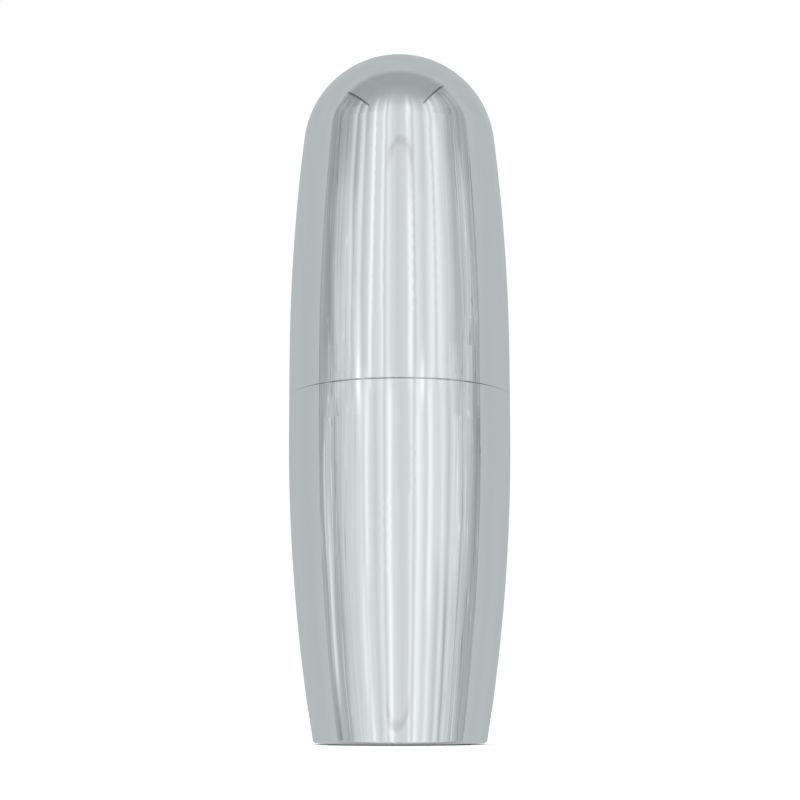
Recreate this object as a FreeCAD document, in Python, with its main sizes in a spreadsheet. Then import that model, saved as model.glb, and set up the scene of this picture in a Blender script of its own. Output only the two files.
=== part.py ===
"""A pocket cryptex: a polished bullet-shaped case in two halves, which hides a five-ring combination lock.

The cap lifts off the lock core. Five twelve-sided dial rings turn on the core's slotted barrel. When every
ring's gate stands over the slot, the core lifts off the vault tube, which is screwed to the base and carries
a row of lock pins, and the tube's stopper pulls out.

Millimetres, +Z up, origin at the centre of the foot. The front, where the code is read, faces -Y.
"""
import FreeCAD, Part
import math
import os

import Sketcher

DRIVING_DIMENSIONS = {
    # outer shape of the case
    "overall_height": 160.0,
    "belt_radius": 25.4,
    "belt_bottom": 71.0,
    "belt_top": 87.0,
    "dome_radius": 22.45,
    "base_radius": 19.4,
    "seam_level": 78.8,
    "seam_chamfer": 0.2,
    "base_corner": 0.8,
    # shells, foot and base screw
    "shell_wall": 2.0,
    "bore_radius": 23.0,
    "mouth_chamfer": 0.4,
    "foot_radius": 16.3,
    "foot_thickness": 1.3,
    "foot_proud": 0.3,
    "floor_top": 4.3,
    "screw_radius": 2.45,
    "screw_head_radius": 4.9,
    "screw_tip_level": 11.5,
    # ballast and vault tube
    "ballast_top": 69.4,
    "ballast_gap": 0.15,
    "tube_outer": 10.2,
    "tube_inner": 8.5,
    "tube_floor": 14.5,
    "tube_top": 135.2,
    "flange_radius": 15.0,
    "flange_height": 2.0,
    "pin_radius": 1.0,
    "pin_reach": 14.2,
    # lock core
    "barrel_inner": 10.3,
    "barrel_outer": 12.0,
    "barrel_top": 140.3,
    "slot_width": 2.3,
    "flute_radius": 1.3,
    "flute_depth": 0.3,
    "core_bottom": 71.5,
    "collar_radius": 22.9,
    "collar_top": 85.3,
    "collar_lip": 20.2,
    "seal_section": 0.75,
    "base_seal_drop": 3.8,
    "cap_seal_rise": 2.0,
    "grub_radius": 1.45,
    "clip_radius": 14.2,
    "clip_thickness": 1.0,
    "clip_bite": 0.65,
    # combination rings
    "ring_count": 5,
    "ring_height": 9.0,
    "ring_pitch": 9.5,
    "ring_flat": 19.4,
    "dial_bore": 16.05,
    "notch_radius": 0.7,
    "gate_outer": 16.0,
    "gate_inner": 12.05,
    "gate_channel": 14.5,
    "gate_land": 5.8,
    "gate_width": 2.6,
    "ball_radius": 1.2,
    "spring_wire": 0.15,
    "washer_thickness": 0.4,
    "washer_radius": 18.2,
    "numeral_height": 4.4,
    "numeral_stroke": 0.62,
    "numeral_depth": 0.4,
    # crown and stopper
    "crown_bottom": 133.35,
    "crown_radius": 18.4,
    "crown_top": 153.4,
    "stopper_head": 9.9,
    "stopper_knob": 5.0,
    "stopper_depth": 6.0,
    "stopper_seal_section": 0.6,
}

SLOT_ANGLE = 105.0  # the barrel's slot, the gates and the lock pins
FRONT_ANGLE = 270.0  # the index marks and the code
STEP_ANGLE = 30.0  # twelve clicks to a turn
KEY_ANGLE = SLOT_ANGLE - STEP_ANGLE / 2
BALL_ANGLE = SLOT_ANGLE + 5 * STEP_ANGLE
TAB_ANGLE = SLOT_ANGLE + 6 * STEP_ANGLE
SCREW_ANGLES = (SLOT_ANGLE + 60, SLOT_ANGLE + 180, SLOT_ANGLE + 300)
OPENING_CODE = (7, 3, 12, 5, 9)  # the numeral that each ring shows at the front, lowest ring first
NUMERALS = ("I", "II", "III", "IV", "V", "VI", "VII", "VIII", "IX", "X", "XI", "XII")
COIN_GROOVES = 72
CLEAR = 0.5  # how far a cutter runs past the face that it cuts
PRESS_FIT = 0.02  # clearances, from a part that is pushed on hard to one that drops in
FIT = 0.05
RUNNING_FIT = 0.1
LOOSE_FIT = 0.2

doc = FreeCAD.newDocument("Cryptex")
sheet = doc.addObject("Spreadsheet::Sheet", "sheet")


class Size:
    """A length that knows its value and the spreadsheet expression that gives it."""

    def __init__(self, value, text):
        self.value = value
        self.text = text

    def _with(self, other, sign, value):
        return Size(value, f"({self.text} {sign} {size(other).text})")

    def __add__(self, other):
        return self._with(other, "+", self.value + size(other).value)

    def __sub__(self, other):
        return self._with(other, "-", self.value - size(other).value)

    def __mul__(self, other):
        return self._with(other, "*", self.value * size(other).value)

    def __truediv__(self, other):
        return self._with(other, "/", self.value / size(other).value)

    def root(self):
        return Size(math.sqrt(self.value), f"sqrt({self.text})")


def size(number):
    return number if isinstance(number, Size) else Size(float(number), repr(float(number)))


def fill_sheet():
    """Writes the driving dimensions into the sheet and returns them as sizes, by alias."""
    for row, (alias, value) in enumerate(DRIVING_DIMENSIONS.items(), start=1):
        sheet.set(f"A{row}", alias)
        sheet.set(f"B{row}", repr(value))
        sheet.setAlias(f"B{row}", alias)
    doc.recompute()
    return {alias: Size(value, f"sheet.{alias}") for alias, value in DRIVING_DIMENSIONS.items()}


def bind(thing, **sizes):
    """Ties properties of an object to the sheet."""
    for name, value in sizes.items():
        setattr(thing, name, size(value).value)
        thing.setExpression(name, size(value).text)
    return thing


def turn(angle):
    return FreeCAD.Rotation(FreeCAD.Vector(0, 0, 1), angle)


def raise_to(thing, level):
    """Stands a finished object on the axis at a level."""
    thing.Placement = FreeCAD.Placement(FreeCAD.Vector(0, 0, size(level).value), FreeCAD.Rotation())
    thing.setExpression("Placement.Base.z", size(level).text)
    return thing


# ---------------------------------------------------------------- building blocks


def arc_between(start, end, radius, hollow):
    """The shorter arc from start to end, which bulges away from the axis unless it is hollow."""
    chord = end - start
    middle = (start + end) * 0.5
    side = FreeCAD.Vector(-chord.y, chord.x, 0).normalize()
    if (side.x < 0) != hollow:
        side = side * -1
    sagitta = radius - math.sqrt(radius**2 - (chord.Length / 2) ** 2)
    return Part.Arc(start, middle + side * sagitta, end)


def turned(name, outline):
    """A lathe-turned body. A corner is (r, z), or (r, z, radius[, "hollow"]) where an arc leads to it."""
    body = doc.addObject("PartDesign::Body", name)
    plane = next(f for f in body.Origin.OriginFeatures if f.Role == "XZ_Plane")
    sketch = body.newObject("Sketcher::SketchObject", f"{name}_outline")
    sketch.AttachmentSupport = [(plane, "")]
    sketch.MapMode = "FlatFace"
    corners = [FreeCAD.Vector(size(c[0]).value, size(c[1]).value, 0) for c in outline]
    for index, corner in enumerate(outline):
        start, end = corners[index - 1], corners[index]
        if len(corner) > 2:
            hollow = len(corner) > 3
            sketch.addGeometry(arc_between(start, end, size(corner[2]).value, hollow), False)
        else:
            sketch.addGeometry(Part.LineSegment(start, end), False)
    for index, corner in enumerate(outline):
        fix_corner(sketch, index, corner, corners)
    revolution = body.newObject("PartDesign::Revolution", f"{name}_turning")
    revolution.Profile = sketch
    revolution.ReferenceAxis = (sketch, ["V_Axis"])
    revolution.Angle = 360
    body.Tip = revolution
    doc.recompute()
    return body


def arc_ends(sketch, index, wanted):
    """The point number (1 start, 2 end) of an edge that lies at a wanted place."""
    near = [(sketch.getPoint(index, point) - wanted).Length for point in (1, 2)]
    return 1 if near[0] < near[1] else 2


def fix_corner(sketch, index, corner, corners):
    """Places one corner by the sheet, joins it to the next edge and sets its arc's radius."""
    following = (index + 1) % len(corners)
    here = arc_ends(sketch, index, corners[index])
    there = arc_ends(sketch, following, corners[index])
    sketch.addConstraint(Sketcher.Constraint("Coincident", index, here, following, there))
    for value, kind, axis in ((corner[0], "DistanceX", -2), (corner[1], "DistanceY", -1)):
        value = size(value)
        if value.value == 0:
            sketch.addConstraint(Sketcher.Constraint("PointOnObject", index, here, axis))
            continue
        number = sketch.addConstraint(Sketcher.Constraint(kind, -1, 1, index, here, value.value))
        sketch.setExpression(f"Constraints[{number}]", value.text)
    if len(corner) > 2:
        radius = size(corner[2])
        number = sketch.addConstraint(Sketcher.Constraint("Radius", index, radius.value))
        sketch.setExpression(f"Constraints[{number}]", radius.text)


def rod(name, radius, length, inner_end, angle, level):
    """A round bar that points outwards from the axis at an angle and level."""
    bar = bind(doc.addObject("Part::Cylinder", name), Radius=radius, Height=length)
    reach = turn(angle).multVec(FreeCAD.Vector(size(inner_end).value, 0, size(level).value))
    lie_outwards = FreeCAD.Rotation(FreeCAD.Vector(0, 1, 0), 90)
    bar.Placement = FreeCAD.Placement(reach, turn(angle).multiply(lie_outwards))
    return bar


def post(name, radius, length, distance, angle, level):
    """An upright round bar at a distance from the axis."""
    bar = bind(doc.addObject("Part::Cylinder", name), Radius=radius, Height=length)
    place = turn(angle).multVec(FreeCAD.Vector(size(distance).value, 0, size(level).value))
    bar.Placement = FreeCAD.Placement(place, FreeCAD.Rotation())
    return bar


def slab(name, inner, outer, width, bottom, top, angle):
    """A radial block between two radii and two levels."""
    block = doc.addObject("Part::Box", name)
    bind(block, Length=size(outer) - inner, Width=width, Height=size(top) - bottom)
    corner = FreeCAD.Vector(size(inner).value, -size(width).value / 2, size(bottom).value)
    block.Placement = FreeCAD.Placement(turn(angle).multVec(corner), turn(angle))
    return block


def hexagon(name, radius, depth, place, rotation):
    """A six-sided socket cutter."""
    prism = bind(doc.addObject("Part::Prism", name), Circumradius=radius, Height=depth)
    prism.Polygon = 6
    prism.Placement = FreeCAD.Placement(place, rotation)
    return prism


def dome_radius_over(width, rise):
    """The radius of a dome that is centred on the axis, from its half width and its rise."""
    width, rise = size(width), size(rise)
    return (width * width + rise * rise) / (rise * 2)


def seal_ring(name, bore, section, level):
    """An O-ring, drawn at its squeezed size so that it only just clears the bore that it seals."""
    ring = bind(doc.addObject("Part::Torus", name), Radius1=bore - FIT - section, Radius2=section)
    return raise_to(ring, level)


def together(name, pieces):
    """Several separate solids in one object."""
    group = doc.addObject("Part::Compound", name)
    group.Links = pieces
    return group


def cut(name, base, *tools):
    """The base with every tool taken away."""
    result = doc.addObject("Part::Cut", name)
    result.Base = base
    result.Tool = tools[0] if len(tools) == 1 else together(f"{name}_tools", list(tools))
    return result


def fuse(name, *pieces):
    result = doc.addObject("Part::MultiFuse", name)
    result.Shapes = list(pieces)
    return result


# ---------------------------------------------------------------- the case


def case_arcs(d):
    """The radii and meeting points of the long arcs above and below the belt."""
    dome_centre = d["overall_height"] - d["dome_radius"]
    rise = dome_centre - d["belt_top"]
    squares = d["belt_radius"] * d["belt_radius"] - d["dome_radius"] * d["dome_radius"]
    upper = (squares + rise * rise) / ((d["belt_radius"] - d["dome_radius"]) * 2)
    taper = d["belt_radius"] - d["base_radius"]
    lower = (taper * taper + d["belt_bottom"] * d["belt_bottom"]) / (taper * 2)
    return dome_centre, rise, upper, lower


def lower_wall(d, lower, inset, level):
    """The radius at a level of a wall that lies inset inside the lower outline."""
    drop = d["belt_bottom"] - level
    radius = lower - inset
    return d["belt_radius"] - lower + (radius * radius - drop * drop).root()


def lower_meeting(d, lower, inset, bore):
    """The level where that wall has narrowed to the bore."""
    radius = lower - inset
    reach = size(bore) - d["belt_radius"] + lower
    return d["belt_bottom"] - (radius * radius - reach * reach).root()


def upper_shell(d):
    _, rise, upper, _ = case_arcs(d)
    wall, seam, lean = d["shell_wall"], d["seam_level"], upper - d["belt_radius"]
    inner = upper - wall
    span = upper - d["dome_radius"]
    reach = d["bore_radius"] + lean
    bore_end = d["belt_top"] + (inner * inner - reach * reach).root()
    return turned("upper_shell", [
        (d["bore_radius"] + d["mouth_chamfer"], seam),
        (d["belt_radius"] - d["seam_chamfer"], seam),
        (d["belt_radius"], seam + d["seam_chamfer"]),
        (d["belt_radius"], d["belt_top"]),
        (upper * lean / span - lean, d["belt_top"] + upper * rise / span, upper),
        (0, d["overall_height"], d["dome_radius"]),
        (0, d["overall_height"] - wall),
        (inner * lean / span - lean, d["belt_top"] + inner * rise / span, d["dome_radius"] - wall),
        (d["bore_radius"], bore_end, inner),
        (d["bore_radius"], seam + d["mouth_chamfer"]),
    ])


def lower_shell(d):
    _, _, _, lower = case_arcs(d)
    wall, seam, foot = d["shell_wall"], d["seam_level"], d["foot_proud"]
    corner = d["base_corner"]
    edge = lower_wall(d, lower, 0, foot + corner)
    recess, recess_radius = d["foot_thickness"], d["foot_radius"] + LOOSE_FIT
    hole = d["screw_radius"] + 0.3
    head = d["screw_head_radius"] + LOOSE_FIT
    return turned("lower_shell", [
        (d["bore_radius"], seam - d["mouth_chamfer"]),
        (d["bore_radius"] + d["mouth_chamfer"], seam),
        (d["belt_radius"] - d["seam_chamfer"], seam),
        (d["belt_radius"], seam - d["seam_chamfer"]),
        (d["belt_radius"], d["belt_bottom"]),
        (edge, foot + corner, lower),
        (edge - corner, foot, corner),
        (recess_radius, foot),
        (recess_radius, recess),
        (head, recess),
        (hole, recess + head - hole),
        (hole, d["floor_top"]),
        (lower_wall(d, lower, wall, d["floor_top"]), d["floor_top"]),
        (d["bore_radius"], lower_meeting(d, lower, wall, d["bore_radius"]), lower - wall),
    ])


def foot_pad(d):
    edge = 0.25
    return turned("foot_pad", [
        (0, 0),
        (d["foot_radius"] - edge, 0),
        (d["foot_radius"], edge, edge),
        (d["foot_radius"], d["foot_thickness"]),
        (0, d["foot_thickness"]),
    ])


def ballast_block(d):
    """The turned sleeve that fills the lower half round the vault tube."""
    _, _, _, lower = case_arcs(d)
    gap, chamfer = d["ballast_gap"], 1.0
    bore = d["tube_outer"] + FIT
    inset = d["shell_wall"] + gap
    outer = d["bore_radius"] - gap
    foot = lower_wall(d, lower, inset, d["floor_top"] + chamfer)
    return turned("ballast_block", [
        (bore, d["floor_top"]),
        (foot - chamfer, d["floor_top"]),
        (foot, d["floor_top"] + chamfer),
        (outer, lower_meeting(d, lower, inset, outer), lower - inset),
        (outer, d["ballast_top"] - chamfer),
        (outer - chamfer, d["ballast_top"]),
        (bore, d["ballast_top"]),
    ])


def base_screw(d):
    """A countersunk screw with a hexagon socket, driven up through the floor into the vault tube."""
    head_level = d["foot_thickness"] + FIT
    radius, head = d["screw_radius"], d["screw_head_radius"]
    tip_chamfer = 0.5
    blank = turned("base_screw_blank", [
        (0, head_level),
        (head, head_level),
        (radius, head_level + head - radius),
        (radius, d["screw_tip_level"] - tip_chamfer),
        (radius - tip_chamfer, d["screw_tip_level"]),
        (0, d["screw_tip_level"]),
    ])
    socket_radius, socket_depth = 1.73, 1.8
    start = FreeCAD.Vector(0, 0, head_level.value - CLEAR)
    socket = hexagon("base_screw_socket", socket_radius, socket_depth + CLEAR, start, FreeCAD.Rotation())
    return cut("base_screw", blank, socket)


# ---------------------------------------------------------------- the vault


def pin_level(d, ring):
    """A lock pin waits in the channel above its ring's gate."""
    return ring_level(d, ring) + (d["gate_land"] + d["ring_height"]) / 2


def vault_tube(d):
    """The closed tube for the scroll, with a flange that holds the ballast down and a row of pin holes."""
    chamfer = 0.35
    floor_thickness = 2.0
    outer, inner = d["tube_outer"], d["tube_inner"]
    bottom = d["floor_top"] + LOOSE_FIT
    screw_hole = d["screw_radius"] + FIT
    tube = turned("vault_tube_blank", [
        (screw_hole, bottom),
        (outer - chamfer, bottom),
        (outer, bottom + chamfer),
        (outer, d["ballast_top"]),
        (d["flange_radius"], d["ballast_top"]),
        (d["flange_radius"], d["ballast_top"] + d["flange_height"] - chamfer),
        (d["flange_radius"] - chamfer, d["ballast_top"] + d["flange_height"]),
        (outer, d["ballast_top"] + d["flange_height"]),
        (outer, d["tube_top"] - chamfer),
        (outer - chamfer, d["tube_top"]),
        (inner + chamfer, d["tube_top"]),
        (inner, d["tube_top"] - chamfer),
        (inner, d["tube_floor"]),
        (0, d["tube_floor"]),
        (0, d["tube_floor"] - floor_thickness),
        (screw_hole, d["tube_floor"] - floor_thickness),
    ])
    holes = []
    length, start = outer - inner + CLEAR * 2, inner - CLEAR
    for ring in range(int(d["ring_count"].value)):
        name = f"pin_hole_{ring + 1}"
        holes.append(rod(name, d["pin_radius"], length, start, SLOT_ANGLE, pin_level(d, ring)))
    return cut("vault_tube", tube, *holes)


def lock_pins(d):
    """Five dowels, one for each ring, pressed into a row of holes in the vault tube."""
    pins = []
    start = d["tube_inner"] + LOOSE_FIT
    length = d["pin_reach"] - start
    chamfer, end_edges = 0.2, (1, 3)
    for ring in range(int(d["ring_count"].value)):
        name = f"lock_pin_{ring + 1}"
        rounded = doc.addObject("Part::Chamfer", name)
        rounded.Base = rod(f"{name}_bar", d["pin_radius"], length, start, SLOT_ANGLE, pin_level(d, ring))
        rounded.Edges = [(edge, chamfer, chamfer) for edge in end_edges]
        pins.append(rounded)
    return together("lock_pins", pins)


def stopper(d):
    """A push-in plug with a groove for its seal and a mushroom knob to pull."""
    plug = d["tube_inner"] - RUNNING_FIT
    top, head, knob = d["tube_top"], d["stopper_head"], d["stopper_knob"]
    bottom = top - d["stopper_depth"]
    lead_in, half_groove, neck, edge = 0.6, 0.7, 2.6, 0.4
    section, seal = d["stopper_seal_section"], stopper_seal_level(d)
    groove = d["tube_inner"] - FIT - section * 2
    return turned("stopper", [
        (0, bottom),
        (plug - lead_in, bottom),
        (plug, bottom + lead_in),
        (plug, seal - half_groove),
        (groove, seal - half_groove),
        (groove, seal + half_groove),
        (plug, seal + half_groove),
        (plug, top),
        (head - edge, top),
        (head, top + edge),
        (head, top + 1.5),
        (head - 0.5, top + 2),
        (neck + edge, top + 2),
        (neck, top + 2 + edge),
        (neck, top + 2.9),
        (knob, top + 3.7, 2.4, "hollow"),
        (knob - edge, top + 5 - edge, 0.8),
        (0, top + 5, dome_radius_over(knob - edge, edge)),
    ])


def stopper_seal_level(d):
    return d["tube_top"] - d["stopper_depth"] / 2


# ---------------------------------------------------------------- the lock core


def spigot_collar(d):
    """The stepped plug that joins the two shells: one seal grips the base, the other grips the cap."""
    radius, top, bottom = d["collar_radius"], d["collar_top"], d["core_bottom"]
    lip, chamfer = d["collar_lip"], 0.5
    groove = d["bore_radius"] - FIT - d["seal_section"] * 2
    half_groove = d["seal_section"] + RUNNING_FIT
    low, high = seal_levels(d)
    bore = d["barrel_outer"] + PRESS_FIT
    blank = turned("spigot_collar_blank", [
        (bore, bottom),
        (radius - chamfer, bottom),
        (radius, bottom + chamfer),
        (radius, low - half_groove),
        (groove, low - half_groove),
        (groove, low + half_groove),
        (radius, low + half_groove),
        (radius, high - half_groove),
        (groove, high - half_groove),
        (groove, high + half_groove),
        (radius, high + half_groove),
        (radius, top - radius + lip),
        (lip, top),
        (bore, top),
    ])
    pin_pass = slab("collar_pin_pass", d["barrel_inner"], d["gate_channel"], d["gate_width"],
                    bottom - CLEAR, top + CLEAR, SLOT_ANGLE)
    holes = grub_holes("collar_screw_hole", d, radius, collar_screw_level(d))
    return cut("spigot_collar", blank, pin_pass, index_groove(lip, top), *holes)


def seal_levels(d):
    """The levels of the base's seal and of the cap's seal, on the two sides of the joint."""
    return d["seam_level"] - d["base_seal_drop"], d["seam_level"] + d["cap_seal_rise"]


def index_groove(lip, top):
    """A round-bottomed line down the collar's cone, which the code is read against."""
    line = bind(doc.addObject("Part::Cylinder", "collar_index"), Radius=0.45, Height=7)
    down_the_cone = FreeCAD.Rotation(FreeCAD.Vector(0, 1, 0), 135)
    start = turn(FRONT_ANGLE).multVec(FreeCAD.Vector(lip.value - 1, 0, top.value + 1))
    line.Placement = FreeCAD.Placement(start, turn(FRONT_ANGLE).multiply(down_the_cone))
    return line


def grub_holes(name, d, length, level):
    """The three radial holes that a part's grub screws sit in."""
    holes = []
    for number, angle in enumerate(SCREW_ANGLES, start=1):
        holes.append(rod(f"{name}_{number}", d["grub_radius"] + FIT, length, d["barrel_inner"], angle, level))
    return holes


def collar_screw_level(d):
    """Between the two seals, where the closed case hides the screws."""
    return (d["seam_level"] * 2 - d["base_seal_drop"] + d["cap_seal_rise"]) / 2


def crown_screw_level(d):
    return d["crown_bottom"] + 4.2


def grub_screws(name, d, length, level):
    """Three socket-head grub screws that point at the barrel."""
    screws = []
    start = d["barrel_outer"] + FIT
    socket_radius, socket_depth = 0.87, 1.5
    for number, angle in enumerate(SCREW_ANGLES, start=1):
        bar = rod(f"{name}_{number}_bar", d["grub_radius"], length, start, angle, level)
        floor = turn(angle).multVec(FreeCAD.Vector(start.value + length - socket_depth, 0, level.value))
        outwards = turn(angle).multiply(FreeCAD.Rotation(FreeCAD.Vector(0, 1, 0), 90))
        socket = hexagon(f"{name}_{number}_socket", socket_radius, socket_depth + CLEAR, floor, outwards)
        screws.append(cut(f"{name}_{number}", bar, socket))
    return together(name, screws)


def barrel(d):
    """The slotted sleeve that the rings turn on. Its flutes give the rings their clicks."""
    inner, outer, bottom, top = d["barrel_inner"], d["barrel_outer"], d["core_bottom"], d["barrel_top"]
    chamfer = 0.3
    clip = d["crown_bottom"]
    groove, groove_top = outer - d["clip_bite"] - FIT, clip + d["clip_thickness"] + FIT
    blank = turned("barrel_blank", [
        (inner + chamfer, bottom),
        (outer, bottom),
        (outer, clip - FIT),
        (groove, clip - FIT),
        (groove, groove_top),
        (outer, groove_top),
        (outer, top - chamfer),
        (outer - chamfer, top),
        (inner, top),
        (inner, bottom + chamfer),
    ])
    slot_top = pin_level(d, int(d["ring_count"].value) - 1) + d["pin_radius"] + LOOSE_FIT * 2
    slot = slab("barrel_slot", inner - CLEAR, outer + CLEAR, d["slot_width"],
                bottom - CLEAR, slot_top, SLOT_ANGLE)
    flutes = []
    start = d["collar_top"]
    length = clip - RUNNING_FIT - start
    for click in range(1, len(NUMERALS)):
        angle = SLOT_ANGLE + click * STEP_ANGLE
        flutes.append(post(f"flute_{click}", d["flute_radius"], length, flute_distance(d), angle, start))
    return cut("barrel", blank, slot, *flutes)


def flute_distance(d):
    """How far the centre of a flute's round bottom stands from the axis."""
    return d["barrel_outer"] + d["flute_radius"] - d["flute_depth"]


def spacer_washers(d):
    """Six keyed washers that keep one ring's turning from dragging the next."""
    washers = []
    thickness, bore = d["washer_thickness"], d["barrel_outer"] + RUNNING_FIT
    for number in range(int(d["ring_count"].value) + 1):
        name = f"spacer_washer_{number + 1}"
        level = d["collar_top"] + d["ring_pitch"] * number
        blank = turned(f"{name}_blank", [
            (bore, level),
            (d["washer_radius"], level),
            (d["washer_radius"], level + thickness),
            (bore, level + thickness),
        ])
        notch = slab(f"{name}_notch", d["barrel_outer"] - CLEAR, d["gate_channel"], d["gate_width"],
                     level - CLEAR, level + thickness + CLEAR, SLOT_ANGLE)
        tab_radius = d["flute_radius"] - RUNNING_FIT
        tab = post(f"{name}_tab", tab_radius, thickness, flute_distance(d), TAB_ANGLE, level)
        washers.append(cut(name, fuse(f"{name}_keyed", blank, tab), notch))
    return together("spacer_washers", washers)


def retaining_clip(d):
    """A spring clip in the barrel's groove, which keeps the rings on when the crown is off."""
    level, outer = d["crown_bottom"], d["clip_radius"]
    top, bore = level + d["clip_thickness"], d["barrel_outer"] - d["clip_bite"]
    mouth_width = 9
    blank = turned("retaining_clip_blank", [
        (bore, level),
        (outer, level),
        (outer, top),
        (bore, top),
    ])
    mouth = slab("retaining_clip_mouth", bore / 2, outer + CLEAR, mouth_width,
                 level - CLEAR, top + CLEAR, SLOT_ANGLE)
    return cut("retaining_clip", blank, mouth)


def crown(d):
    """The domed grip on top of the barrel, with a coin edge and an index line."""
    bottom, top, radius = d["crown_bottom"], d["crown_top"], d["crown_radius"]
    bore, roof = d["barrel_outer"] + PRESS_FIT, d["barrel_top"] + RUNNING_FIT
    low_chamfer, band_chamfer, dome_rise = 0.8, 0.5, 12.2
    shoulder, shoulder_level = radius - 1.2, top - dome_rise
    band_top = shoulder_level - band_chamfer * 2
    clip_room, clip_roof = d["clip_radius"] + band_chamfer, bottom + d["clip_thickness"] + 0.55
    hollow, hollow_floor, hollow_top, hollow_flat = 10.5, top - 6.4, top - 2.6, 5.5
    blank = turned("crown_blank", [
        (clip_room, bottom),
        (radius - low_chamfer, bottom),
        (radius, bottom + low_chamfer),
        (radius, band_top),
        (radius - band_chamfer, band_top + band_chamfer),
        (shoulder, band_top + band_chamfer),
        (shoulder, shoulder_level),
        (0, top, dome_radius_over(shoulder, dome_rise)),
        (0, hollow_top),
        (hollow_flat, hollow_top),
        (hollow, hollow_floor),
        (hollow, roof),
        (bore, roof),
        (bore, clip_roof),
        (clip_room, clip_roof),
    ])
    index = post("crown_index", 0.5, 2.6, radius + 0.1, FRONT_ANGLE, bottom - CLEAR)
    holes = grub_holes("crown_screw_hole", d, radius, crown_screw_level(d))
    return cut("crown", coin_edge(blank, d, bottom + 1.9, band_top), index, *holes)


def coin_edge(body, d, bottom, top):
    """Cuts a coin edge into a turned body: one V groove, repeated round the axis."""
    plane = next(f for f in body.Origin.OriginFeatures if f.Role == "XY_Plane")
    sketch = body.newObject("Sketcher::SketchObject", "coin_groove_outline")
    sketch.AttachmentSupport = [(plane, "")]
    sketch.MapMode = "FlatFace"
    sketch.AttachmentOffset = FreeCAD.Placement(FreeCAD.Vector(0, 0, bottom.value), FreeCAD.Rotation())
    depth, half_width = 0.55, 0.62
    tip = FreeCAD.Vector(d["crown_radius"].value - depth, 0, 0)
    out = d["crown_radius"].value + 0.1
    corners = [tip, FreeCAD.Vector(out, half_width, 0), FreeCAD.Vector(out, -half_width, 0)]
    for index, corner in enumerate(corners):
        sketch.addGeometry(Part.LineSegment(corner, corners[(index + 1) % 3]), False)
    for index in range(3):
        sketch.addConstraint(Sketcher.Constraint("Coincident", index, 2, (index + 1) % 3, 1))
    sketch.addConstraint(Sketcher.Constraint("PointOnObject", 0, 1, -1))
    number = sketch.addConstraint(Sketcher.Constraint("DistanceX", -1, 1, 0, 1, tip.x))
    sketch.setExpression(f"Constraints[{number}]", (d["crown_radius"] - depth).text)
    sketch.addConstraint(Sketcher.Constraint("DistanceX", 0, 1, 0, 2, out - tip.x))
    sketch.addConstraint(Sketcher.Constraint("Symmetric", 1, 1, 1, 2, -1))
    sketch.addConstraint(Sketcher.Constraint("DistanceY", 1, 2, 1, 1, 2 * half_width))
    doc.recompute()
    groove = body.newObject("PartDesign::Pocket", "coin_groove")
    groove.Profile = sketch
    groove.Reversed = True
    bind(groove, Length=top - bottom)
    pattern = body.newObject("PartDesign::PolarPattern", "coin_grooves")
    pattern.Originals = [groove]
    pattern.Axis = (sketch, ["N_Axis"])
    pattern.Angle = 360
    pattern.Occurrences = COIN_GROOVES
    body.Tip = pattern
    doc.recompute()
    return body


# ---------------------------------------------------------------- the combination rings


def ring_level(d, ring):
    """The level of a ring's lower face, counting from 0 at the lowest ring."""
    return d["collar_top"] + d["washer_thickness"] + FIT + d["ring_pitch"] * ring


def numeral_strokes(numeral):
    """Each stroke of a Roman numeral as (foot, head), sideways from the middle of its face."""
    reach = {"I": (0.0,), "V": (-1.25, 1.25), "X": (-1.15, 1.15)}
    advance = {"I": 1.45, "V": 3.25, "X": 3.05}
    place = -sum(advance[letter] for letter in numeral) / 2
    strokes = []
    for letter in numeral:
        middle = place + advance[letter] / 2
        for lean in reach[letter]:
            foot = middle - lean if letter == "X" else middle
            strokes.append((foot, middle + lean))
        place += advance[letter]
    return strokes


def numeral_cutter(numeral, d):
    """A Roman numeral with its two serif bars, standing on the +X side of a ring."""
    height, stroke = d["numeral_height"].value, d["numeral_stroke"].value
    start = d["ring_flat"].value - d["numeral_depth"].value
    middle = d["ring_height"].value / 2
    low, high = middle - height / 2, middle + height / 2
    strokes = numeral_strokes(numeral)
    half, bar = stroke / 2, stroke / 2
    outlines = []
    for foot, head in strokes:
        outlines.append([(foot - half, low), (foot + half, low), (head + half, high), (head - half, high)])
    edge = max(abs(x) for ends in strokes for x in ends) + stroke * 1.05
    for level in (low, high - bar):
        outlines.append([(-edge, level), (edge, level), (edge, level + bar), (-edge, level + bar)])
    pieces = []
    for outline in outlines:
        loop = [FreeCAD.Vector(start, side, level) for side, level in outline + outline[:1]]
        face = Part.Face(Part.makePolygon(loop))
        pieces.append(face.extrude(FreeCAD.Vector(d["numeral_depth"].value + CLEAR * 2, 0, 0)))
    return pieces[0].fuse(pieces[1:])


def numeral_ring(name, d, shown):
    """All twelve numerals round a ring, with the shown one at the front."""
    letters = []
    for number, numeral in enumerate(NUMERALS, start=1):
        cutter = numeral_cutter(numeral, d)
        angle = FRONT_ANGLE + (number - shown) * STEP_ANGLE
        cutter.rotate(FreeCAD.Vector(0, 0, 0), FreeCAD.Vector(0, 0, 1), angle)
        letters.append(cutter)
    tool = doc.addObject("Part::Feature", name)
    tool.Shape = Part.makeCompound(letters)
    return tool


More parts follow.
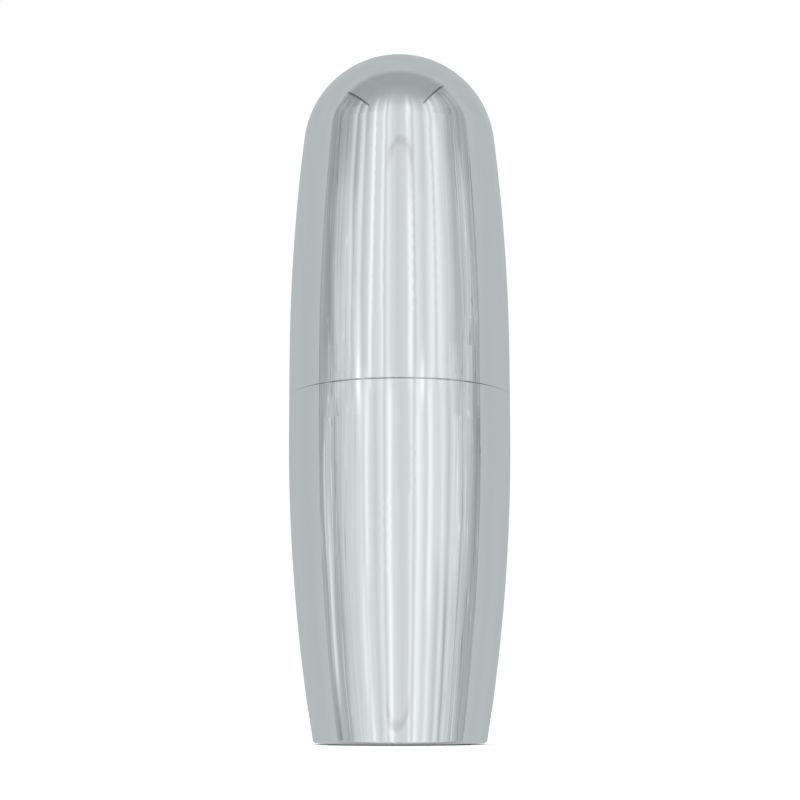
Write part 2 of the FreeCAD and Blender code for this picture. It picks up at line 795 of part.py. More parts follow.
def dial_ring(d, ring):
    """A twelve-sided ring with a numeral on each side, and notches in its bore for the gate ring's key."""
    name = f"dial_ring_{ring + 1}"
    height, flat, chamfer = d["ring_height"], d["ring_flat"], 0.9
    corner = flat / math.cos(math.radians(STEP_ANGLE / 2))
    blank = turned(f"{name}_blank", [
        (d["dial_bore"], 0),
        (corner - chamfer, 0),
        (corner, chamfer),
        (corner, height - chamfer),
        (corner - chamfer, height),
        (d["dial_bore"], height),
    ])
    prism = bind(doc.addObject("Part::Prism", f"{name}_sides"), Circumradius=corner, Height=height)
    prism.Polygon = len(NUMERALS)
    prism.Placement = FreeCAD.Placement(FreeCAD.Vector(), turn(STEP_ANGLE / 2))
    faceted = doc.addObject("Part::Common", f"{name}_faceted")
    faceted.Base = blank
    faceted.Tool = prism
    notches = []
    for number in range(len(NUMERALS)):
        notch = post(f"{name}_notch_{number + 1}", d["notch_radius"], height + 2 * CLEAR,
                     d["dial_bore"], number * STEP_ANGLE, -CLEAR)
        notches.append(notch)
    shape = cut(name, faceted, numeral_ring(f"{name}_numerals", d, OPENING_CODE[ring]), *notches)
    return raise_to(shape, ring_level(d, ring))


def gate_ring(d, ring):
    """The inner ring, which blocks its lock pin unless its gate stands over the barrel's slot."""
    name = f"gate_ring_{ring + 1}"
    height, inner, outer = d["ring_height"], d["gate_inner"], d["gate_outer"]
    blank = turned(f"{name}_blank", [
        (inner, 0),
        (outer, 0),
        (outer, height),
        (d["gate_channel"], height),
        (d["gate_channel"], d["gate_land"]),
        (inner, d["gate_land"]),
    ])
    key_inset = 0.5
    key = post(f"{name}_key", d["notch_radius"] - FIT, height - 2 * key_inset,
               outer - PRESS_FIT, KEY_ANGLE, key_inset)
    gate = slab(f"{name}_gate", inner - CLEAR, d["gate_channel"], d["gate_width"],
                -CLEAR, d["gate_land"] + CLEAR, SLOT_ANGLE)
    pocket = rod(f"{name}_ball_hole", d["ball_radius"] + FIT, outer - inner + 2 * CLEAR,
                 inner - CLEAR, BALL_ANGLE, d["gate_land"] / 2)
    shape = cut(name, fuse(f"{name}_keyed", blank, key), gate, pocket)
    return raise_to(shape, ring_level(d, ring))


def ball_distance(d):
    """How far a detent ball's centre stands from the axis when it rests in a flute."""
    return d["barrel_outer"] - d["flute_depth"] + FIT + d["ball_radius"]


def detent_ball(d, ring):
    ball = bind(doc.addObject("Part::Sphere", f"detent_ball_{ring + 1}"), Radius=d["ball_radius"])
    place = turn(BALL_ANGLE).multVec(FreeCAD.Vector(ball_distance(d).value, 0, 0))
    level = ring_level(d, ring) + d["gate_land"] / 2
    ball.Placement = FreeCAD.Placement(place + FreeCAD.Vector(0, 0, level.value), FreeCAD.Rotation())
    ball.setExpression("Placement.Base.z", level.text)
    return ball


def detent_spring(d, ring):
    """A short coil between the ball and the dial ring's bore."""
    name = f"detent_spring_{ring + 1}"
    wire = d["spring_wire"]
    coil_radius = d["ball_radius"] - wire - 0.15
    start = ball_distance(d) + d["ball_radius"] * 0.75 + wire
    length = d["dial_bore"] - 0.06 - wire - start
    turns = 3.5
    helix = doc.addObject("Part::Helix", f"{name}_line")
    bind(helix, Radius=coil_radius, Height=length, Pitch=length / turns)
    section = bind(doc.addObject("Part::Circle", f"{name}_section"), Radius=wire)
    across = FreeCAD.Rotation(FreeCAD.Vector(1, 0, 0), 90)
    section.Placement = FreeCAD.Placement(FreeCAD.Vector(coil_radius.value, 0, 0), across)
    coil = doc.addObject("Part::Sweep", name)
    coil.Sections = [section]
    coil.Spine = (helix, [])
    coil.Solid = True
    coil.Frenet = True
    level = ring_level(d, ring) + d["gate_land"] / 2
    place = turn(BALL_ANGLE).multVec(FreeCAD.Vector(start.value, 0, level.value))
    outwards = turn(BALL_ANGLE).multiply(FreeCAD.Rotation(FreeCAD.Vector(0, 1, 0), 90))
    coil.Placement = FreeCAD.Placement(place, outwards)
    return coil


# ---------------------------------------------------------------- the whole


def build(d):
    """Makes every piece and returns them by name."""
    seal, bore, tube = d["seal_section"], d["bore_radius"], d["tube_inner"]
    low, high = seal_levels(d)
    pieces = {
        "upper_shell": upper_shell(d),
        "lower_shell": lower_shell(d),
        "foot_pad": foot_pad(d),
        "ballast_block": ballast_block(d),
        "base_screw": base_screw(d),
        "vault_tube": vault_tube(d),
        "lock_pins": lock_pins(d),
        "stopper": stopper(d),
        "stopper_seal": seal_ring("stopper_seal", tube, d["stopper_seal_section"], stopper_seal_level(d)),
        "spigot_collar": spigot_collar(d),
        "base_seal": seal_ring("base_seal", bore, seal, low),
        "cap_seal": seal_ring("cap_seal", bore, seal, high),
        "collar_grub_screws": grub_screws("collar_grub_screws", d, 6, collar_screw_level(d)),
        "barrel": barrel(d),
        "spacer_washers": spacer_washers(d),
        "retaining_clip": retaining_clip(d),
        "crown": crown(d),
        "crown_grub_screws": grub_screws("crown_grub_screws", d, 5, crown_screw_level(d)),
    }
    for ring in range(int(d["ring_count"].value)):
        pieces[f"dial_ring_{ring + 1}"] = dial_ring(d, ring)
        pieces[f"gate_ring_{ring + 1}"] = gate_ring(d, ring)
        pieces[f"detent_ball_{ring + 1}"] = detent_ball(d, ring)
        pieces[f"detent_spring_{ring + 1}"] = detent_spring(d, ring)
    return pieces


def export(pieces):
    """Checks every object and shape, then writes one STEP file for each piece."""
    doc.recompute()
    failed = [thing.Name for thing in doc.Objects if {"Invalid", "Error"} & set(thing.State)]
    if failed:
        raise RuntimeError(f"these objects failed: {failed}")
    os.makedirs("parts", exist_ok=True)
    for label, piece in pieces.items():
        piece.Label = label
        shape = piece.Shape
        if shape.isNull() or not shape.isValid() or not shape.Solids:
            raise RuntimeError(f"{label} has no valid shape")
        shape.exportStep(f"parts/{label}.step")
        print(f"{label}: {len(shape.Solids)} solids, {shape.Volume / 1000:.3f} cm3")


export(build(fill_sheet()))
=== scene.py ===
"""The looks of the capsule cryptex: its metals and rubbers, a white studio and the camera.

Metres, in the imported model's frame: +Z up the capsule, the front faces -Y.
"""
import math

import bpy
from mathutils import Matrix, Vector


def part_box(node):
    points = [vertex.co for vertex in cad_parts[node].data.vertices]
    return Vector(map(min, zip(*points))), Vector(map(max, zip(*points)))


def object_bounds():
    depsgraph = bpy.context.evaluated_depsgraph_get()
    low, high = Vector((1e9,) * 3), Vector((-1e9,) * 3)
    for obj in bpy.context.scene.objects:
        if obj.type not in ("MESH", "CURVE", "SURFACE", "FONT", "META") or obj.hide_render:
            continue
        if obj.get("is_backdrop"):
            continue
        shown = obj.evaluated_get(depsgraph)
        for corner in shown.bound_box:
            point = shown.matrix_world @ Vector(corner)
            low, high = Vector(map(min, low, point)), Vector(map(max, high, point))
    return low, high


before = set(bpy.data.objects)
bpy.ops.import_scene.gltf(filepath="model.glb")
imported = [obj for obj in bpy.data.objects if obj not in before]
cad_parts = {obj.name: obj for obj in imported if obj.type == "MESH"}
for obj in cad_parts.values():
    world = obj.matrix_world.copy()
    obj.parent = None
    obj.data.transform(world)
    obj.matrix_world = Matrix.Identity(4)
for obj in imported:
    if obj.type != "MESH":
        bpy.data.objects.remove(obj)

CAD_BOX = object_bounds()
MM = 0.001
RINGS = range(1, 6)

# ---------------------------------------------------------------- numbers that vary, as nodes


class Field:
    """A number that varies over a surface or over the sky. Arithmetic on it adds Math nodes to its tree."""

    def __init__(self, tree, socket):
        self.tree = tree
        self.socket = socket

    def math(self, operation, *others, clamp=False):
        node = self.tree.nodes.new("ShaderNodeMath")
        node.operation = operation
        node.use_clamp = clamp
        for socket, value in zip(node.inputs, (self, *others)):
            feed(self.tree, value, socket)
        return Field(self.tree, node.outputs[0])

    def __add__(self, other):
        return self.math("ADD", other)

    def __sub__(self, other):
        return self.math("SUBTRACT", other)

    def __mul__(self, other):
        return self.math("MULTIPLY", other)

    def __truediv__(self, other):
        return self.math("DIVIDE", other)

    def __pow__(self, other):
        return self.math("POWER", other)

    def __abs__(self):
        return self.math("ABSOLUTE")

    def step(self, low, high):
        """0 below low, 1 above high and a smooth rise between them (falling where low is the higher)."""
        node = self.tree.nodes.new("ShaderNodeMapRange")
        node.interpolation_type = "SMOOTHSTEP"
        node.inputs["From Min"].default_value = min(low, high)
        node.inputs["From Max"].default_value = max(low, high)
        if low > high:
            node.inputs["To Min"].default_value = 1
            node.inputs["To Max"].default_value = 0
        feed(self.tree, self, node.inputs["Value"])
        return Field(self.tree, node.outputs["Result"])

    def bell(self, centre, width):
        """1 at centre, falling off smoothly over width."""
        return ((self - centre) / width).math("POWER", 2).math("MULTIPLY", -1).math("EXPONENT")


def feed(tree, value, socket):
    """Links a field or a socket to a socket, or sets a plain number or colour on it."""
    if isinstance(value, Field):
        tree.links.new(value.socket, socket)
    elif isinstance(value, bpy.types.NodeSocket):
        tree.links.new(value, socket)
    else:
        socket.default_value = value


def coordinates(tree, kind):
    """The x, y and z of a texture coordinate as fields."""
    split = tree.nodes.new("ShaderNodeSeparateXYZ")
    source = tree.nodes.new("ShaderNodeTexCoord")
    tree.links.new(source.outputs[kind], split.inputs[0])
    return [Field(tree, split.outputs[axis]) for axis in "XYZ"]


def vector(tree, x, y, z):
    """A place from three numbers or fields."""
    node = tree.nodes.new("ShaderNodeCombineXYZ")
    for socket, value in zip(node.inputs, (x, y, z)):
        feed(tree, value, socket)
    return node.outputs[0]


def noise(tree, place, scale, detail=2.0, roughness=0.5):
    """Noise from 0 to 1 at a place, with scale features to the unit."""
    node = tree.nodes.new("ShaderNodeTexNoise")
    tree.links.new(place, node.inputs["Vector"])
    node.inputs["Scale"].default_value = scale
    node.inputs["Detail"].default_value = detail
    node.inputs["Roughness"].default_value = roughness
    return Field(tree, node.outputs["Fac"])


def blend(tree, share, first, second):
    """The mix of two colours, from the first at share 0 to the second at share 1."""
    node = tree.nodes.new("ShaderNodeMix")
    node.data_type = "RGBA"
    feed(tree, share, node.inputs["Factor"])
    feed(tree, first, node.inputs["A"])
    feed(tree, second, node.inputs["B"])
    return node.outputs["Result"]


# ---------------------------------------------------------------- the studio

# Directions are azimuths in degrees from the front, positive to the right, and elevations in degrees.
# Tones are brightnesses as displayed, from 0 black to 1 white.
METAL_SHARE = 0.89  # how much light the polished shells give back
DISPLAY_POWER = 2.2  # turns a displayed tone into light
DARKEST_TONE = 0.02
CEILING_LEFT = 0.85  # the light tent's reach to the left, right and front, by its height above the object
CEILING_RIGHT = 0.66
TENT_DEPTH = 1.03
CEILING_TONE = 0.635
BACKDROP_TONE = 0.738
CREASE_DEPTH = 0.46
COOLEST, NEUTRAL = 0.62, 0.93  # cloth between these tones turns from blue-green to neutral
COOL_TINT = (0.915, 0.985, 1.0, 1)
NEUTRAL_TINT = (1.0, 1.0, 1.0, 1)
WARM_TINT = (1.0, 0.97, 0.94, 1)
# the cloth's tone by azimuth, as the upper shell and as the lower shell mirror it
UPPER_FOLDS = (
    (-98, 0.70), (-93, 0.65), (-86, 0.645), (-76, 0.69), (-66, 0.75), (-58, 0.81), (-53, 0.88),
    (-50.5, 0.78), (-43, 0.89), (-39.5, 0.78), (-34, 0.84), (-30, 0.985), (-27.5, 0.85), (-21, 0.86),
    (-17.5, 0.95), (-15.7, 0.825), (-12, 0.91), (-8, 0.85), (-1, 0.82), (6, 0.84), (11.5, 0.985),
    (16, 0.825), (19, 0.89), (27, 0.84), (35, 0.93), (38.5, 0.83), (42, 0.92), (50, 0.83), (65, 0.72),
    (79, 0.78), (88, 0.68), (96, 0.72),
)
LOWER_FOLDS = (
    (-98, 0.76), (-93, 0.70), (-87, 0.68), (-80, 0.76), (-73, 0.71), (-66, 0.74), (-56, 0.81),
    (-48, 0.83), (-41, 0.87), (-38, 0.85), (-34, 0.95), (-29, 0.85), (-25, 0.815), (-18, 0.89),
    (-16, 0.835), (-10.5, 0.985), (-6, 0.86), (1, 0.825), (8, 0.84), (12, 0.92), (14.5, 0.835),
    (18.5, 0.955), (27, 0.845), (31, 0.965), (36, 0.86), (40.5, 0.85), (44.5, 0.89), (51, 0.79),
    (55, 0.87), (72, 0.75), (86, 0.655), (97, 0.71),
)
# single folds that fade out: azimuth, width, change of tone, lowest and highest elevation
SHORT_FOLDS = (
    (-52, 2.2, -0.11, 22, 60), (-72, 7.0, -0.07, 24, 60), (-48, 3.0, -0.06, 24, 60),
    (30, 5.0, -0.03, 22, 60), (68, 9.0, -0.04, 24, 60), (-41, 2.5, 0.07, 8, 14),
    (26, 3.0, -0.02, 10, 20), (-68, 4.0, 0.05, 8, 16), (-39, 2.0, 0.07, -16, -5),
    (-33, 2.5, -0.07, -16, -5), (-66, 5.0, -0.01, -25, -3), (41, 3.5, -0.06, -25, -4),
    (51, 2.5, -0.07, -25, -5), (60, 4.0, -0.05, -25, -5), (-80, 3.0, 0.07, -12, 2),
    (30.5, 2.0, -0.07, -25, -8), (12.0, 2.5, -0.08, 24, 31), (-41, 3.0, -0.04, 27, 60),
    (-62, 5.5, -0.11, 25, 60), (78, 6.0, -0.09, 25, 60), (47, 4.0, -0.05, 31, 60),
    (-81, 6.0, -0.11, -25, -12),
)
FADE = 3  # the elevation over which a short fold fades
SEAM_ELEVATION = 10.0  # where the joint between the shells mirrors the cloth
GLINTS = (-43.0, 23.5)  # azimuths of two bright spots in the cloth beside the joint
GLINT_WIDTH, GLINT_HEIGHT, GLINT_TONE = 2.0, 0.7, 0.14
SLIT_AZIMUTH = 0.8
SLIT_MIDDLE = 5.1
SLIT_HALF_HEIGHT = 23.8
SLIT_HALF_WIDTH = 15.0


def folds(tree, azimuth, tones):
    """The cloth's brightness at an azimuth, from a list of folds."""
    ramp = tree.nodes.new("ShaderNodeValToRGB")
    ramp.color_ramp.interpolation = "EASE"
    low, high = tones[0][0], tones[-1][0]
    stops = ramp.color_ramp.elements
    for index, (angle, tone) in enumerate(tones):
        position = (angle - low) / (high - low)
        stop = stops[index] if index < 2 else stops.new(position)  # a new ramp has two stops
        stop.position = position
        stop.color = (tone, tone, tone, 1)
    feed(tree, (azimuth - low) / (high - low), ramp.inputs["Fac"])
    return Field(tree, ramp.outputs["Color"])


def cloth(tree, azimuth, elevation):
    """The tent's front and sides, with soft upright folds, fine creases and the slit for the lens.

    Returns the tone, and how near a direction is to the slit's edge.
    """
    sway = noise(tree, vector(tree, azimuth * 0.03, elevation * 0.05, 3.0), 1.0, 2.0) - 0.5
    sides = abs(azimuth).step(35, 80)
    leaning = azimuth + sway * (sides * 7 + 3)
    above_seam = ((elevation - SEAM_ELEVATION) / (sides * 3.5 + 0.6)).step(-1.0, 1.0)
    upper = folds(tree, leaning, UPPER_FOLDS)
    lower = folds(tree, leaning, LOWER_FOLDS)
    tone = lower + (upper - lower) * above_seam
    for middle, width, change, lowest, highest in SHORT_FOLDS:
        starts = elevation.step(lowest - FADE, lowest + FADE)
        stops = elevation.step(highest + FADE, highest - FADE)
        tone = tone + leaning.bell(middle, width) * starts * stops * change
    for middle in GLINTS:
        glint = azimuth.bell(middle, GLINT_WIDTH) * elevation.bell(SEAM_ELEVATION, GLINT_HEIGHT)
        tone = tone + glint * GLINT_TONE
    broad_place = vector(tree, leaning * 0.12, elevation * 0.02, above_seam * 1.6)
    broad = noise(tree, broad_place, 1.0, 2.0) - 0.5
    fine_place = vector(tree, leaning * 0.5, elevation * 0.035, above_seam * 1.6)
    fine = noise(tree, fine_place, 1.0, 3.0, 0.65) - 0.5
    crease = noise(tree, vector(tree, leaning * 0.2, elevation * 0.03, above_seam * 1.3), 1.0, 1.0)
    lines = crease.bell(0.5, 0.008) * 0.08 - crease.bell(0.58, 0.008) * 0.11
    uneven = broad * (sides * 0.16 + 0.03) + fine * (sides * 0.26 + 0.008) + lines * (sides * 1.2 + 0.1)
    across = (azimuth - SLIT_AZIMUTH + elevation.step(-8, -20) * 4) / SLIT_HALF_WIDTH
    along = (elevation - SLIT_MIDDLE) / SLIT_HALF_HEIGHT
    edge = across ** 2 + along ** 20
    ends = abs(along).step(0.85, 0.97)
    tone = tone + uneven - edge.bell(1.0, 0.3) * ends * 0.06
    return tone, edge.bell(1.0, 0.4)


def ceiling(tree, x, y, z):
    """The tent's roof: its tone, how much of it shows, its creases and the shade that it throws below."""
    side = (x / CEILING_RIGHT).math("MAXIMUM", x / -CEILING_LEFT)
    inside_front = z + y / TENT_DEPTH
    above = (z - side).math("MINIMUM", inside_front)
    mottle = noise(tree, vector(tree, x, y, z), 2.5, 3.0) - 0.5
    tone = (y * -1).step(0.3, 0.75) * 0.07 + CEILING_TONE + mottle * 0.05
    creased = above.bell(0.03, 0.011) + above.bell(0.0, 0.006) * 0.6
    crease = creased * (side + y / TENT_DEPTH).step(0.0, 0.05) * z.step(0.1, 0.2)
    roof = (z - side).step(-0.03, 0.06) * inside_front.step(-0.2, 0.34)
    shade = above.step(-0.3, 0.0) * z.step(0.4, 0.55) * 0.05
    return tone, roof, crease, shade


def sky():
    """What the polished metal mirrors: a tent in front, open at the back to an even grey.

    The camera itself sees plain white.
    """
    world = bpy.data.worlds.new("studio")
    bpy.context.scene.world = world
    world.use_nodes = True
    tree = world.node_tree
    tree.nodes.clear()
    x, y, z = coordinates(tree, "Generated")
    to_degrees = 180 / math.pi
    azimuth = x.math("ARCTAN2", y * -1) * to_degrees
    elevation = z.math("ARCSINE") * to_degrees
    roof_tone, roof, crease, shade = ceiling(tree, x, y, z)
    inside, slit_edge = cloth(tree, azimuth, elevation)
    tone = inside + (roof_tone - inside) * roof - crease * CREASE_DEPTH - shade * (roof * -1 + 1)
    edge_softness = z.step(0.5, 0.9) * 0.09 + 0.01
    front = ((y * -1 + 0.025) / edge_softness).step(-1.0, 1.0)
    rim = y.bell(0.01, 0.012) * z.step(0.7, 0.5) * 0.05
    far = y.step(0.0, 0.3) * 0.014 + y.step(0.8, 1.0) * 0.025
    drapes = noise(tree, vector(tree, x, y, z * 0.2), 4.0, 3.0) - 0.5
    behind = drapes * 0.05 + BACKDROP_TONE - far
    underneath = z.step(-0.5, -0.95) * 0.13
    tone = behind + (tone - behind) * front - rim - underneath
    radiance = tone.math("MAXIMUM", DARKEST_TONE) ** DISPLAY_POWER / METAL_SHARE
    tint = blend(tree, tone.step(COOLEST, NEUTRAL), COOL_TINT, NEUTRAL_TINT)
    warmth = slit_edge * front * 0.8
    mirrored = tree.nodes.new("ShaderNodeBackground")
    tree.links.new(blend(tree, warmth, tint, WARM_TINT), mirrored.inputs["Color"])
    tree.links.new(radiance.socket, mirrored.inputs["Strength"])
    seen = tree.nodes.new("ShaderNodeBackground")
    seen.inputs["Color"].default_value = NEUTRAL_TINT
    seen.inputs["Strength"].default_value = 1.02
    rays = tree.nodes.new("ShaderNodeLightPath")
    either = tree.nodes.new("ShaderNodeMixShader")
    tree.links.new(rays.outputs["Is Camera Ray"], either.inputs["Fac"])
    tree.links.new(mirrored.outputs[0], either.inputs[1])
    tree.links.new(seen.outputs[0], either.inputs[2])
    output = tree.nodes.new("ShaderNodeOutputWorld")
    tree.links.new(either.outputs[0], output.inputs["Surface"])


def floor():
    """A pale floor, which the tent's cloth hides from the mirror finish."""
    half = 6.0  # metres
    corners = [(-half, -half, 0), (half, -half, 0), (half, half, 0), (-half, half, 0)]
    mesh = bpy.data.meshes.new("floor")
    mesh.from_pydata(corners, [], [(0, 1, 2, 3)])
    plane = bpy.data.objects.new("floor", mesh)
    bpy.context.scene.collection.objects.link(plane)
    plane.visible_glossy = False
    material, tree, shader = new_material("floor_paper", (0.9, 0.9, 0.9), 0.9, 0.0)
    shader.inputs["Specular IOR Level"].default_value = 0.0
    mesh.materials.append(material)
    plane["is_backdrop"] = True


def lamp(name, place, size, power):
    """A large soft light that faces the object, and that the metal doesn't mirror."""
    data = bpy.data.lights.new(name, "AREA")
    data.shape = "DISK"
    data.size = size
    data.energy = power
    light = bpy.data.objects.new(name, data)
    bpy.context.scene.collection.objects.link(light)
    light.location = place
    middle = (CAD_BOX[0] + CAD_BOX[1]) / 2
    light.rotation_euler = (middle - light.location).to_track_quat("-Z", "Y").to_euler()
    light.visible_glossy = False


def soft_sun():
    """Even light from above, so that the floor is as bright far away as it is near the object."""
    data = bpy.data.lights.new("soft_sun", "SUN")
    data.energy = 3.5
    data.angle = math.radians(120)
    light = bpy.data.objects.new("soft_sun", data)
    bpy.context.scene.collection.objects.link(light)
    light.visible_glossy = False


def camera():
    """A short telephoto lens close to the floor, which looks a little upwards."""
    distance, height, aim_height, roll = 0.426, 0.0077, 0.07808, -0.09
    data = bpy.data.cameras.new("camera")
    data.sensor_width = 36
    data.lens = 84.3
    data.clip_start = 0.01
    eye = bpy.data.objects.new("camera", data)
    bpy.context.scene.collection.objects.link(eye)
    eye.location = (0, -distance, height)
    aim = Vector((0.0001, 0, aim_height)) - eye.location
    eye.rotation_euler = aim.to_track_quat("-Z", "Y").to_euler()
    eye.rotation_euler.rotate_axis("Z", math.radians(roll))
    bpy.context.scene.camera = eye


def studio():
    """The sky, the floor, the lights and the camera."""
    bpy.context.scene.view_settings.view_transform = "Standard"
    sky()
    floor()
    soft_sun()
    lamp("front_left", (-1.3, -1.2, 0.9), 1.0, 10)
    camera()


# ---------------------------------------------------------------- materials


def numbered(stem):
    """The names of the five nodes of a kind, one for each dial ring."""
    return [f"{stem}_{ring}" for ring in RINGS]


CHROME, CHROME_DARK = (0.85, 0.885, 0.895), (0.70, 0.76, 0.77)
# painted shade: the colour of the dark hairline where the shells meet, standing in for the shade in the gap
# between them
SEAM_SHADE_COLOUR = (0.05, 0.06, 0.065)
BRASS, BRASS_DARK = (0.80, 0.61, 0.29), (0.50, 0.34, 0.13)
DIAL_BRASS = (0.83, 0.64, 0.31)
ENAMEL = (0.012, 0.011, 0.012)
ACETAL, ACETAL_FLOW = (0.84, 0.82, 0.77), (0.72, 0.69, 0.61)
# name, colour, tarnished colour, roughness, spacing and depth of the tool rings, and the nodes
TURNED_METALS = (
    ("turned_steel", (0.62, 0.63, 0.64), (0.36, 0.37, 0.38), 0.3, 0.35 * MM, 0.012 * MM,
     ("vault_tube", "spigot_collar", "barrel", "crown")),
    ("ground_steel", (0.72, 0.73, 0.75), (0.5, 0.51, 0.53), 0.16, 0.2 * MM, 0.003 * MM,
     ("lock_pins", *numbered("detent_ball"))),
    ("turned_brass", BRASS, BRASS_DARK, 0.26, 0.3 * MM, 0.01 * MM,
     ("stopper", *numbered("gate_ring"))),
    ("turned_aluminium", (0.75, 0.76, 0.77), (0.52, 0.53, 0.54), 0.32, 0.5 * MM, 0.02 * MM,
     ("ballast_block",)),
    ("spring_steel", (0.42, 0.42, 0.44), (0.2, 0.2, 0.24), 0.3, 0.3 * MM, 0.004 * MM,
     ("retaining_clip", *numbered("detent_spring"))),
)
# name, colour, roughness, size of the grain, and the nodes
DULL_SURFACES = (
    # painted light: the foot pad's rubber is made pale grey so that its thin edge, in the shadow under the
    # object, shows as a light line
    ("painted_light_grey_rubber", (0.42, 0.43, 0.44), 0.7, 0.3 * MM, ("foot_pad",)),
    ("black_rubber", (0.022, 0.022, 0.024), 0.6, 0.25 * MM, ("base_seal", "cap_seal", "stopper_seal")),
    ("black_oxide", (0.05, 0.05, 0.055), 0.42, 0.12 * MM,
     ("base_screw", "collar_grub_screws", "crown_grub_screws")),
)
# painted shade: the dark hairline between the shells stands in for the shade in the gap where they meet;
# angle from the front, width and darkness of its darker stretches
SEAM_SHADE_STRETCHES = ((-3, 9, 0.45), (-38, 12, 0.24), (44, 8, 0.3), (140, 40, 0.3), (-130, 35, 0.3))
SEAM_SHADE_HALF_HEIGHT = 0.11 * MM
DIAL_FLAT = 19.4 * MM  # from the axis to a dial ring's flats
DIAL_SIDES = 12
NUMERAL_HALF_HEIGHT = 2.6 * MM


def new_material(name, colour, roughness, metallic):
    """A plain principled material, with its tree and shader."""
    material = bpy.data.materials.new(name)
    material.use_nodes = True
    tree = material.node_tree
    shader = tree.nodes["Principled BSDF"]
    shader.inputs["Base Color"].default_value = (*colour, 1)
    shader.inputs["Roughness"].default_value = roughness
    shader.inputs["Metallic"].default_value = metallic
    return material, tree, shader


def bump(tree, shader, height, distance):
    """Raises a surface by a height from 0 to 1, times a distance in metres."""
    node = tree.nodes.new("ShaderNodeBump")
    node.inputs["Distance"].default_value = distance
    tree.links.new(height.socket, node.inputs["Height"])
    tree.links.new(node.outputs["Normal"], shader.inputs["Normal"])


def turned_around_axis(tree, shader, amount):
    """Stretches highlights along the axis, as lathe marks do."""
    tangent = tree.nodes.new("ShaderNodeTangent")
    tangent.direction_type = "RADIAL"
    tangent.axis = "Z"
    shader.inputs["Anisotropic"].default_value = amount
    tree.links.new(tangent.outputs["Tangent"], shader.inputs["Tangent"])


def lathe_marks(tree, x, y, z, pitch):
    """A height from 0 to 1 with fine, uneven rings round the axis."""
    radius = (x ** 2 + y ** 2).math("SQRT")
    wave = (z / pitch * 2 * math.pi).math("SINE") * 0.25 + 0.5
    uneven = noise(tree, vector(tree, 0.0, radius, z), 0.7 / pitch, 2.0)
    return wave * 0.4 + uneven * 0.6


def mirror_chrome():
    """The mirror-polished shells: faint turning lines, rubbed spots and a dark hairline where they meet,
    which is painted shade of the gap between them.
    """
    material, tree, shader = new_material("mirror_chrome", CHROME, 0.04, 1.0)
    x, y, z = coordinates(tree, "Object")
    marks = lathe_marks(tree, x, y, z, 0.5 * MM)
    bump(tree, shader, marks, 0.0004 * MM)
    place = vector(tree, x, y, z)
    rubbed = noise(tree, place, 60.0, 4.0, 0.6)
    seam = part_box("upper_shell")[0].z
    turn = x.math("ARCTAN2", y * -1) * (180 / math.pi)
    seam_shade_strength = noise(tree, place, 300.0, 2.0, 0.6) * 0.35 + 0.12
    for middle, width, depth in SEAM_SHADE_STRETCHES:
        seam_shade_strength = seam_shade_strength + turn.bell(middle, width) * depth
    seam_shade_strength = seam_shade_strength - abs(turn).bell(75, 20) * 0.25
    # painted shade of the gap between the shells, darker in stretches and most towards the front; it also
    # raises the roughness there
    seam_shade = abs(z - seam).step(SEAM_SHADE_HALF_HEIGHT, 0.04 * MM) * seam_shade_strength.math("MAXIMUM", 0.0)
    feed(tree, rubbed.step(0.35, 0.75) * 0.025 + 0.018 + seam_shade * 0.3, shader.inputs["Roughness"])
    turned_around_axis(tree, shader, 0.6)
    shade = noise(tree, place, 25.0, 2.0) * 0.03
    metal = blend(tree, shade, (*CHROME, 1), (*CHROME_DARK, 1))
    # the painted shade darkens the metal's colour along the joint
    feed(tree, blend(tree, seam_shade, metal, (*SEAM_SHADE_COLOUR, 1)), shader.inputs["Base Color"])
    return material


def turned_metal(name, colour, dark, roughness, pitch, depth):
    """A lathe-turned metal with visible tool rings, handling marks and a little tarnish."""
    material, tree, shader = new_material(name, colour, roughness, 1.0)
    x, y, z = coordinates(tree, "Object")
    marks = lathe_marks(tree, x, y, z, pitch)
    bump(tree, shader, marks, depth)
    place = vector(tree, x, y, z)
    clouds = noise(tree, place, 90.0, 4.0, 0.6)
    specks = noise(tree, place, 900.0, 2.0)
    feed(tree, clouds * 0.16 + marks * 0.08 + (roughness - 0.12), shader.inputs["Roughness"])
    share = clouds.step(0.3, 0.8) * 0.5 + specks * 0.12
    feed(tree, blend(tree, share, (*colour, 1), (*dark, 1)), shader.inputs["Base Color"])
    turned_around_axis(tree, shader, 0.5)
    return material


def dial_brass(name, ring):
    """Brushed brass facets whose engraved numerals are filled with black enamel."""
    low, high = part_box(ring)
    middle = (low.z + high.z) / 2
    material, tree, shader = new_material(name, BRASS, 0.28, 1.0)
    x, y, z = coordinates(tree, "Object")
    side = 2 * math.pi / DIAL_SIDES
    turn = y.math("ARCTAN2", x)
    off_middle = (turn / side + 100.5).math("FRACT") * side - side / 2
    reach = (x ** 2 + y ** 2).math("SQRT") * off_middle.math("COSINE")
    height = z - middle
    depth = reach * -1 + DIAL_FLAT
    sunk = depth.step(0.08 * MM, 0.12 * MM) * depth.step(0.8 * MM, 0.7 * MM)
    enamel = sunk * abs(height).step(NUMERAL_HALF_HEIGHT, NUMERAL_HALF_HEIGHT - 0.1 * MM)
    grain = noise(tree, vector(tree, off_middle * 0.02, height, turn * 0.001), 9000.0, 2.0)
    clouds = noise(tree, vector(tree, x, y, z), 120.0, 4.0, 0.6)
    rim = abs(height).step(3.6 * MM, 4.3 * MM) * 0.35
    share = clouds.step(0.35, 0.8) * 0.45 + grain * 0.12 - rim * 0.2
    metal = blend(tree, share.math("MAXIMUM", 0.0), (*DIAL_BRASS, 1), (*BRASS_DARK, 1))
    bare = enamel * -1 + 1
    feed(tree, blend(tree, enamel, metal, (*ENAMEL, 1)), shader.inputs["Base Color"])
    feed(tree, bare, shader.inputs["Metallic"])
    feed(tree, clouds * 0.14 + grain * 0.1 + 0.14 + enamel * 0.1, shader.inputs["Roughness"])
    bump(tree, shader, grain * bare, 0.006 * MM)
    return material


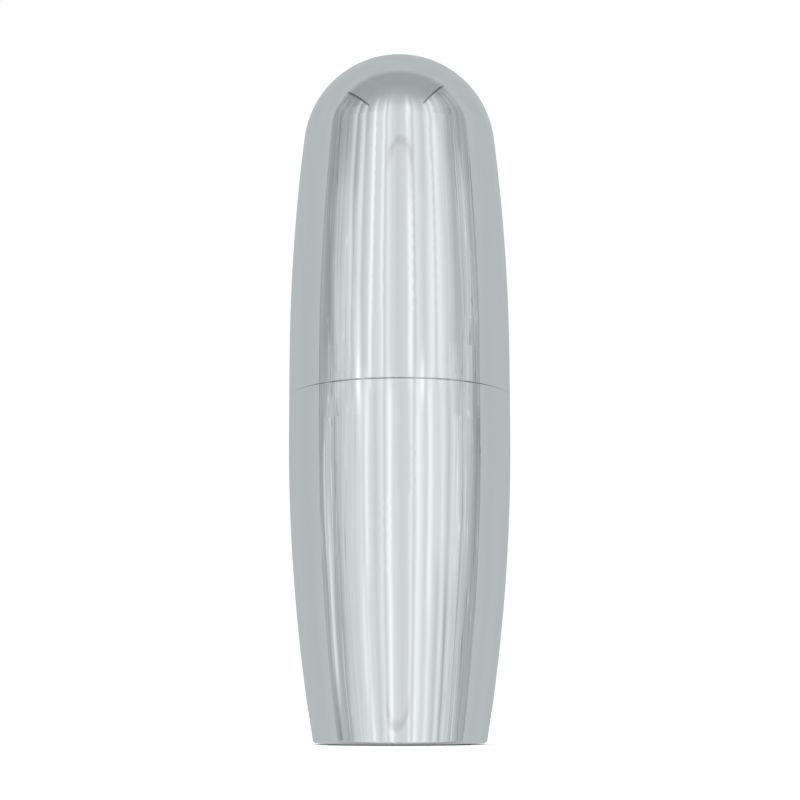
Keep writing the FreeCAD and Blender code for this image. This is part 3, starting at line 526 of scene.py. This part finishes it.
def dull_surface(name, colour, roughness, grain_size):
    """Rubber or black-oxide steel, with a fine uneven grain and pale handling marks."""
    material, tree, shader = new_material(name, colour, roughness, 0.0)
    x, y, z = coordinates(tree, "Object")
    place = vector(tree, x, y, z)
    grain = noise(tree, place, 1 / grain_size, 3.0, 0.6)
    dust = noise(tree, place, 150.0, 4.0, 0.7)
    bump(tree, shader, grain, 0.02 * MM)
    feed(tree, grain * 0.2 + (roughness - 0.1), shader.inputs["Roughness"])
    worn = tuple(min(1.0, part * 3 + 0.02) for part in colour)
    marked = blend(tree, dust.step(0.45, 0.8) * 0.5, (*colour, 1), (*worn, 1))
    feed(tree, marked, shader.inputs["Base Color"])
    return material


def acetal():
    """Milky white plastic with faint mould flow."""
    material, tree, shader = new_material("acetal", ACETAL, 0.4, 0.0)
    x, y, z = coordinates(tree, "Object")
    flow = noise(tree, vector(tree, x, y, z), 260.0, 3.0, 0.6)
    feed(tree, blend(tree, flow, (*ACETAL, 1), (*ACETAL_FLOW, 1)), shader.inputs["Base Color"])
    feed(tree, flow * 0.25 + 0.28, shader.inputs["Roughness"])
    shader.inputs["Subsurface Weight"].default_value = 0.1
    shader.inputs["Subsurface Scale"].default_value = 0.4 * MM
    bump(tree, shader, flow, 0.01 * MM)
    return material


def dress(material, *names):
    """Gives CAD nodes a material."""
    for name in names:
        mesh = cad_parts[name].data
        mesh.materials.clear()
        mesh.materials.append(material)


def materials():
    """Dresses every node."""
    dress(mirror_chrome(), "upper_shell", "lower_shell")
    for *finish, nodes in TURNED_METALS:
        dress(turned_metal(*finish), *nodes)
    for *finish, nodes in DULL_SURFACES:
        dress(dull_surface(*finish), *nodes)
    dress(acetal(), "spacer_washers")
    for ring in numbered("dial_ring"):
        dress(dial_brass(f"{ring}_brass", ring), ring)


def write_sizes():
    """Works out the CAD model's box and the visual model's box."""
    boxes = {"cad": CAD_BOX, "visual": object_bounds()}
    boxes = {kind: [list(corner) for corner in box] for kind, box in boxes.items()}


studio()
materials()
write_sizes()
